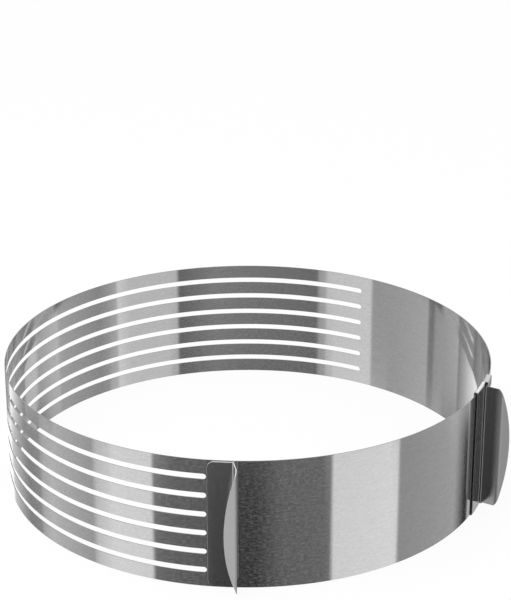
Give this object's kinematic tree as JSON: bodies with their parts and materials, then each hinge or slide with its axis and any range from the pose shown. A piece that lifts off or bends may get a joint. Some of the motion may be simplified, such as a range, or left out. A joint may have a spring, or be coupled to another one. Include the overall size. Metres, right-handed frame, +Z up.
{
  "type": "adjustable cake ring",
  "caption": "Springy slotted steel band coiled to a ring, with finger clips that slide its overlapping ends to set the cake diameter and level slots that guide a knife.",
  "frame": {"origin": "centre of the open ring, on the plane of its bottom rim", "axes": "+Z up through the ring, -Y towards the front clip side, +X towards the end clip side"},
  "size_m": [0.3104, 0.3174, 0.0824],
  "materials": {
    "band_steel": "fine brushing along the band",
    "clip_steel": "satin, bright cut edges"
  },
  "bodies": {
    "inner_stretch_1": {"inner_stretch_1": "band_steel", "inner_end_hook": "clip_steel"},
    "inner_stretch_2": {"inner_stretch_2": "band_steel"},
    "inner_stretch_3": {"inner_stretch_3": "band_steel"},
    "inner_stretch_4": {"inner_stretch_4": "band_steel"},
    "inner_stretch_5": {"inner_stretch_5": "band_steel"},
    "inner_stretch_6": {"inner_stretch_6": "band_steel"},
    "clip_stretch": {"clip_stretch": "band_steel", "front_clip": "clip_steel"},
    "slotted_stretch_1": {"slotted_stretch_1": "band_steel"},
    "slotted_stretch_2": {"slotted_stretch_2": "band_steel"},
    "slotted_stretch_3": {"slotted_stretch_3": "band_steel"},
    "slotted_stretch_4": {"slotted_stretch_4": "band_steel"},
    "slotted_stretch_5": {"slotted_stretch_5": "band_steel"},
    "slotted_stretch_6": {"slotted_stretch_6": "band_steel"},
    "slotted_stretch_7": {"slotted_stretch_7": "band_steel"},
    "slotted_stretch_8": {"slotted_stretch_8": "band_steel"},
    "slotted_stretch_9": {"slotted_stretch_9": "band_steel"},
    "slot_end_stretch": {"slot_end_stretch": "band_steel"},
    "outer_stretch_1": {"outer_stretch_1": "band_steel"},
    "outer_stretch_2": {"outer_stretch_2": "band_steel"},
    "outer_stretch_3": {"outer_stretch_3": "band_steel"},
    "outer_stretch_4": {"outer_stretch_4": "band_steel"},
    "outer_stretch_5": {"outer_stretch_5": "band_steel"},
    "end_stretch": {"end_stretch": "band_steel", "end_clip": "clip_steel", "outer_end_hook": "band_steel"}
  },
  "joints": [
    {"name": "size_adjust", "type": "hinge", "parent": "slotted_stretch_5", "child": "slotted_stretch_4", "pos_m": [-0.14838, 0.02517, 0.04], "axis": [0, 0, 1], "range_deg": [0, 4.89]},
    {"name": "bend_at_inner_stretch_1", "type": "hinge", "parent": "inner_stretch_2", "child": "inner_stretch_1", "pos_m": [0.13367, -0.06805, 0.04], "axis": [0, 0, 1], "range_deg": [0, 3.05]},
    {"name": "bend_at_inner_stretch_2", "type": "hinge", "parent": "inner_stretch_3", "child": "inner_stretch_2", "pos_m": [0.11562, -0.09556, 0.04], "axis": [0, 0, 1], "range_deg": [0, 3.05]},
    {"name": "bend_at_inner_stretch_3", "type": "hinge", "parent": "inner_stretch_4", "child": "inner_stretch_3", "pos_m": [0.09201, -0.11847, 0.04], "axis": [0, 0, 1], "range_deg": [0, 3.05]},
    {"name": "bend_at_inner_stretch_4", "type": "hinge", "parent": "inner_stretch_5", "child": "inner_stretch_4", "pos_m": [0.06396, -0.13568, 0.04], "axis": [0, 0, 1], "range_deg": [0, 3.05]},
    {"name": "bend_at_inner_stretch_5", "type": "hinge", "parent": "inner_stretch_6", "child": "inner_stretch_5", "pos_m": [0.03285, -0.14636, 0.04], "axis": [0, 0, 1], "range_deg": [0, 3.05]},
    {"name": "bend_at_inner_stretch_6", "type": "hinge", "parent": "clip_stretch", "child": "inner_stretch_6", "pos_m": [0.00015, -0.15, 0.04], "axis": [0, 0, 1], "range_deg": [0, 3.36]},
    {"name": "bend_at_clip_stretch", "type": "hinge", "parent": "slotted_stretch_1", "child": "clip_stretch", "pos_m": [-0.0389, -0.14487, 0.04], "axis": [0, 0, 1], "range_deg": [0, 4.38]},
    {"name": "bend_at_slotted_stretch_1", "type": "hinge", "parent": "slotted_stretch_2", "child": "slotted_stretch_1", "pos_m": [-0.08862, -0.12107, 0.04], "axis": [0, 0, 1], "range_deg": [0, 5.11]},
    {"name": "bend_at_slotted_stretch_2", "type": "hinge", "parent": "slotted_stretch_3", "child": "slotted_stretch_2", "pos_m": [-0.12644, -0.08097, 0.04], "axis": [0, 0, 1], "range_deg": [0, 5.12]},
    {"name": "bend_at_slotted_stretch_3", "type": "hinge", "parent": "slotted_stretch_4", "child": "slotted_stretch_3", "pos_m": [-0.14729, -0.02994, 0.04], "axis": [0, 0, 1], "range_deg": [0, 5.14]},
    {"name": "bend_at_slotted_stretch_5", "type": "hinge", "parent": "slotted_stretch_5", "child": "slotted_stretch_6", "pos_m": [-0.12955, 0.07698, 0.04], "axis": [0, 0, -1], "range_deg": [0, 5.13]},
    {"name": "bend_at_slotted_stretch_6", "type": "hinge", "parent": "slotted_stretch_6", "child": "slotted_stretch_7", "pos_m": [-0.09334, 0.11854, 0.04], "axis": [0, 0, -1], "range_deg": [0, 5.1]},
    {"name": "bend_at_slotted_stretch_7", "type": "hinge", "parent": "slotted_stretch_7", "child": "slotted_stretch_8", "pos_m": [-0.0446, 0.14428, 0.04], "axis": [0, 0, -1], "range_deg": [0, 5.06]},
    {"name": "bend_at_slotted_stretch_8", "type": "hinge", "parent": "slotted_stretch_8", "child": "slotted_stretch_9", "pos_m": [0.01014, 0.15075, 0.04], "axis": [0, 0, -1], "range_deg": [0, 5.03]},
    {"name": "bend_at_slotted_stretch_9", "type": "hinge", "parent": "slotted_stretch_9", "child": "slot_end_stretch", "pos_m": [0.06354, 0.13708, 0.04], "axis": [0, 0, -1], "range_deg": [0, 4.04]},
    {"name": "bend_at_slot_end_stretch", "type": "hinge", "parent": "slot_end_stretch", "child": "outer_stretch_1", "pos_m": [0.09251, 0.11943, 0.04], "axis": [0, 0, -1], "range_deg": [0, 3.07]},
    {"name": "bend_at_outer_stretch_1", "type": "hinge", "parent": "outer_stretch_1", "child": "outer_stretch_2", "pos_m": [0.11669, 0.09591, 0.04], "axis": [0, 0, -1], "range_deg": [0, 3.06]},
    {"name": "bend_at_outer_stretch_2", "type": "hinge", "parent": "outer_stretch_2", "child": "outer_stretch_3", "pos_m": [0.13505, 0.06762, 0.04], "axis": [0, 0, -1], "range_deg": [0, 3.06]},
    {"name": "bend_at_outer_stretch_3", "type": "hinge", "parent": "outer_stretch_3", "child": "outer_stretch_4", "pos_m": [0.14668, 0.03596, 0.04], "axis": [0, 0, -1], "range_deg": [0, 3.06]},
    {"name": "bend_at_outer_stretch_4", "type": "hinge", "parent": "outer_stretch_4", "child": "outer_stretch_5", "pos_m": [0.15099, 0.0025, 0.04], "axis": [0, 0, -1], "range_deg": [0, 3.06]},
    {"name": "bend_at_outer_stretch_5", "type": "hinge", "parent": "outer_stretch_5", "child": "end_stretch", "pos_m": [0.14778, -0.03107, 0.04], "axis": [0, 0, -1], "range_deg": [0, 3.11]}
  ],
  "couplings": [
    {"joint": "bend_at_inner_stretch_1", "follows": "size_adjust", "ratio": 0.59499},
    {"joint": "bend_at_inner_stretch_2", "follows": "size_adjust", "ratio": 0.59499},
    {"joint": "bend_at_inner_stretch_3", "follows": "size_adjust", "ratio": 0.59499},
    {"joint": "bend_at_inner_stretch_4", "follows": "size_adjust", "ratio": 0.59499},
    {"joint": "bend_at_inner_stretch_5", "follows": "size_adjust", "ratio": 0.59499},
    {"joint": "bend_at_inner_stretch_6", "follows": "size_adjust", "ratio": 0.65394},
    {"joint": "bend_at_clip_stretch", "follows": "size_adjust", "ratio": 0.85345},
    {"joint": "bend_at_slotted_stretch_1", "follows": "size_adjust", "ratio": 0.99602},
    {"joint": "bend_at_slotted_stretch_2", "follows": "size_adjust", "ratio": 0.99781},
    {"joint": "bend_at_slotted_stretch_3", "follows": "size_adjust", "ratio": 1.0002},
    {"joint": "bend_at_slotted_stretch_5", "follows": "size_adjust", "ratio": 0.99862},
    {"joint": "bend_at_slotted_stretch_6", "follows": "size_adjust", "ratio": 0.99332},
    {"joint": "bend_at_slotted_stretch_7", "follows": "size_adjust", "ratio": 0.98642},
    {"joint": "bend_at_slotted_stretch_8", "follows": "size_adjust", "ratio": 0.98007},
    {"joint": "bend_at_slotted_stretch_9", "follows": "size_adjust", "ratio": 0.78746},
    {"joint": "bend_at_slot_end_stretch", "follows": "size_adjust", "ratio": 0.59772},
    {"joint": "bend_at_outer_stretch_1", "follows": "size_adjust", "ratio": 0.59596},
    {"joint": "bend_at_outer_stretch_2", "follows": "size_adjust", "ratio": 0.59596},
    {"joint": "bend_at_outer_stretch_3", "follows": "size_adjust", "ratio": 0.59596},
    {"joint": "bend_at_outer_stretch_4", "follows": "size_adjust", "ratio": 0.59596},
    {"joint": "bend_at_outer_stretch_5", "follows": "size_adjust", "ratio": 0.60653}
  ]
}
